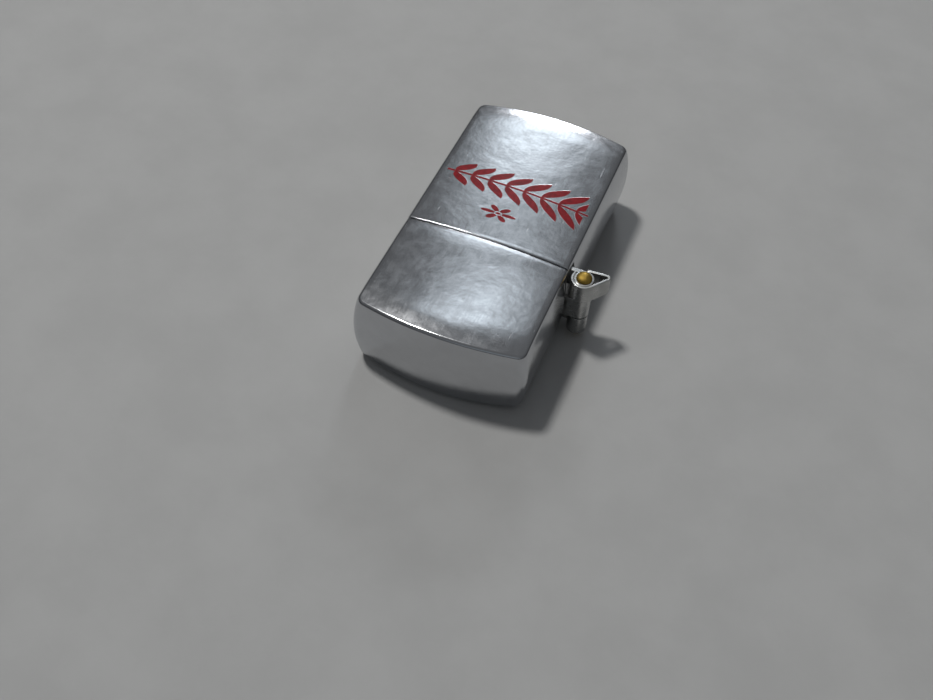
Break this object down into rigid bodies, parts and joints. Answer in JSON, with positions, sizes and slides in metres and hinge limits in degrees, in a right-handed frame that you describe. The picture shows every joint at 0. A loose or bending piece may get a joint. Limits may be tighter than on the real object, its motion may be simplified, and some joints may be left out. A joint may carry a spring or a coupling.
{
  "type": "lighter",
  "caption": "Miniature flip-top petrol lighter with a hinged lid, key-ring lug, chimney, striking wheel, snap cam and fuel tank insert.",
  "frame": {"origin": "centre of the whole object's footprint, on the surface that its back lies on", "axes": "+X across the case towards the hinge, +Y along the case from the lid to the bottom, +Z out of the printed front face"},
  "size_m": [0.0266, 0.042, 0.0112],
  "materials": {
    "case_chrome": "chrome plate over brass, finely scratched, with a plain red ornament on the body's front",
    "hinge_chrome": "chrome plate, rolled sheet",
    "pin_brass": "bare brass, dull",
    "insert_steel": "brushed nickel-plated sheet",
    "rivet_steel": "plated rivet",
    "wheel_steel": "dark hardened steel, serrated",
    "cam_steel": "plated stamping",
    "spring_steel": "spring steel",
    "tube_brass": "turned brass",
    "flint_alloy": "grey sintered alloy",
    "wick_cotton": "braided cotton, charred tip",
    "packing_cotton": "loose cotton wool",
    "felt": "pressed felt"
  },
  "bodies": {
    "case": {"body_shell": "case_chrome", "body_hinge_leaf": "hinge_chrome", "keyring_lug": "hinge_chrome", "hinge_pin": "pin_brass", "insert_case": "insert_steel", "insert_top_plate": "insert_steel", "chimney": "insert_steel", "wheel_axle": "rivet_steel", "cam_rivet": "rivet_steel", "cam_spring_rivet": "rivet_steel", "cam_spring": "spring_steel", "flint_spring": "spring_steel", "flint_tube": "tube_brass", "spring_plug": "tube_brass", "flint_screw": "tube_brass", "flint": "flint_alloy", "wick": "wick_cotton", "wick_packing": "packing_cotton", "felt_pad": "felt"},
    "lid": {"lid_shell": "case_chrome", "lid_hinge_leaf": "hinge_chrome"},
    "wheel": {"flint_wheel": "wheel_steel"},
    "cam": {"cam_lever": "cam_steel"}
  },
  "joints": [
    {"name": "lid_hinge", "type": "hinge", "parent": "case", "child": "lid", "pos_m": [0.01039, -0.0043, 0], "axis": [0, 0, 1], "range_deg": [0, 120]},
    {"name": "wheel_spin", "type": "hinge", "parent": "case", "child": "wheel", "pos_m": [-0.00861, -0.0109, 0.0056], "axis": [0, 0, 1], "continuous": true},
    {"name": "cam_pivot", "type": "hinge", "parent": "case", "child": "cam", "pos_m": [0.00454, -0.0076, 0.0056], "axis": [0, 0, 1], "range_deg": [-8, 8], "stiffness_Nm_per_rad": 0.04}
  ]
}
